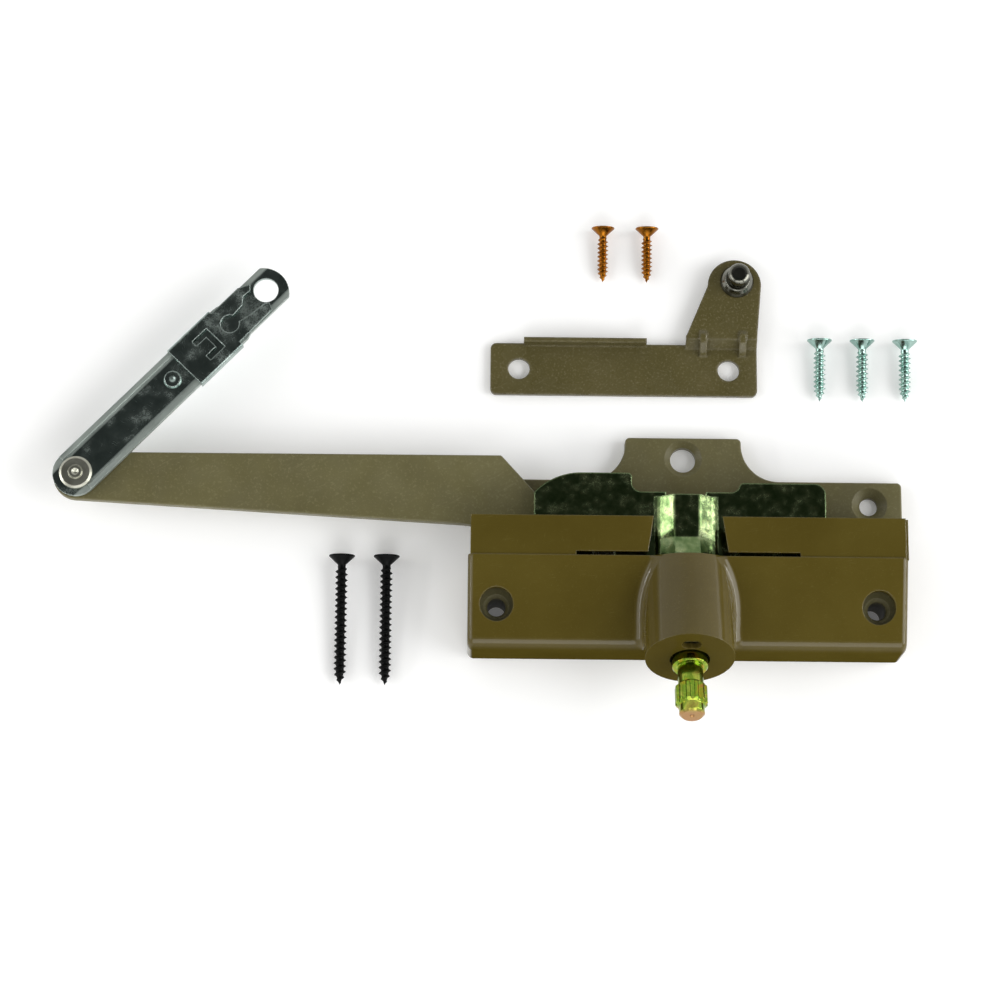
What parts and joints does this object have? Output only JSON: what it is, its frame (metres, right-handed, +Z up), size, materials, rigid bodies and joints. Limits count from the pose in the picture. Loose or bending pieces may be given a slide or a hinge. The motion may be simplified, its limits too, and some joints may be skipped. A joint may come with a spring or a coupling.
{
  "type": "casement window operator",
  "caption": "Single-arm casement window crank operator with worm drive, folding link with slide lock, cover, sash bracket and loose wood screws.",
  "frame": {"origin": "on the mounting face, in the crank's plane, midway between the two rows of mounting screws", "axes": "+X along the sill towards the side away from the arm, +Y towards the outside of the window, +Z up from the mounting face"},
  "size_m": [0.2882, 0.1745, 0.0424],
  "materials": {
    "bronze_paint": "satin",
    "dark_bronze_paint": "satin",
    "cover_plastic": "gloss",
    "yellow_zinc": "polished",
    "bright_zinc": "polished",
    "bare_steel": "satin",
    "stud_chrome": "polished",
    "sintered_bronze": "satin",
    "white_acetal": "matte",
    "seal_rubber": "matte",
    "bronze_screw": "satin",
    "zinc_screw": "satin",
    "black_screw": "gloss"
  },
  "bodies": {
    "base": {"base_casting": "bronze_paint", "retainer_plate": "yellow_zinc", "plate_rivets": "bare_steel", "cover": "cover_plastic", "front_bushing": "sintered_bronze", "rear_bushing": "sintered_bronze", "retaining_ring": "bare_steel", "shaft_seal": "seal_rubber", "arm_pivot_pin": "bare_steel", "lower_pivot_washer": "white_acetal", "upper_pivot_washer": "white_acetal"},
    "crank_shaft": {"worm_shaft": "yellow_zinc", "thrust_washer": "bare_steel"},
    "arm": {"operator_arm": "bronze_paint", "sector_gear": "bare_steel", "gear_rivets": "bare_steel", "arm_bushing": "sintered_bronze", "link_rivet": "stud_chrome"},
    "link": {"link_arm": "bright_zinc", "stop_rivet": "bright_zinc", "link_washer": "white_acetal"},
    "lock": {"slide_lock": "bright_zinc"},
    "bracket": {"sash_bracket": "dark_bronze_paint", "bracket_stud": "stud_chrome", "stud_collar_ring": "stud_chrome"},
    "bracket_screw_set": {"bracket_screws": "bronze_screw"},
    "flange_screw_set": {"flange_screws": "zinc_screw"},
    "tower_screw_set": {"tower_screws": "black_screw"}
  },
  "joints": [
    {"name": "arm_pivot", "type": "hinge", "parent": "base", "child": "arm", "pos_m": [-0.027, -0.0015, 0.012], "axis": [0, 0, 1], "range_deg": [-90, 0]},
    {"name": "crank_turn", "type": "hinge", "parent": "base", "child": "crank_shaft", "pos_m": [0, -0.03795, 0.02789], "axis": [0, -0.9272, 0.3746], "range_deg": [0, 3240]},
    {"name": "link_pivot", "type": "hinge", "parent": "arm", "child": "link", "pos_m": [-0.201, 0.0249, 0.0137], "axis": [0, 0, 1], "range_deg": [-40, 130]},
    {"name": "lock_slide", "type": "slide", "parent": "link", "child": "lock", "axis": [0.6909, 0.723, 0], "range_m": [-0.0015, 0.0045]},
    {"name": "bracket_lift", "type": "slide", "parent": "base", "child": "bracket", "axis": [0, 0, 1], "range_m": [0, 0.06]},
    {"name": "bracket_screw_lift", "type": "slide", "parent": "base", "child": "bracket_screw_set", "axis": [0, 0, 1], "range_m": [0, 0.06]},
    {"name": "flange_screw_lift", "type": "slide", "parent": "base", "child": "flange_screw_set", "axis": [0, 0, 1], "range_m": [0, 0.06]},
    {"name": "tower_screw_lift", "type": "slide", "parent": "base", "child": "tower_screw_set", "axis": [0, 0, 1], "range_m": [0, 0.06]}
  ],
  "couplings": [
    {"joint": "crank_turn", "follows": "arm_pivot", "ratio": -36}
  ]
}
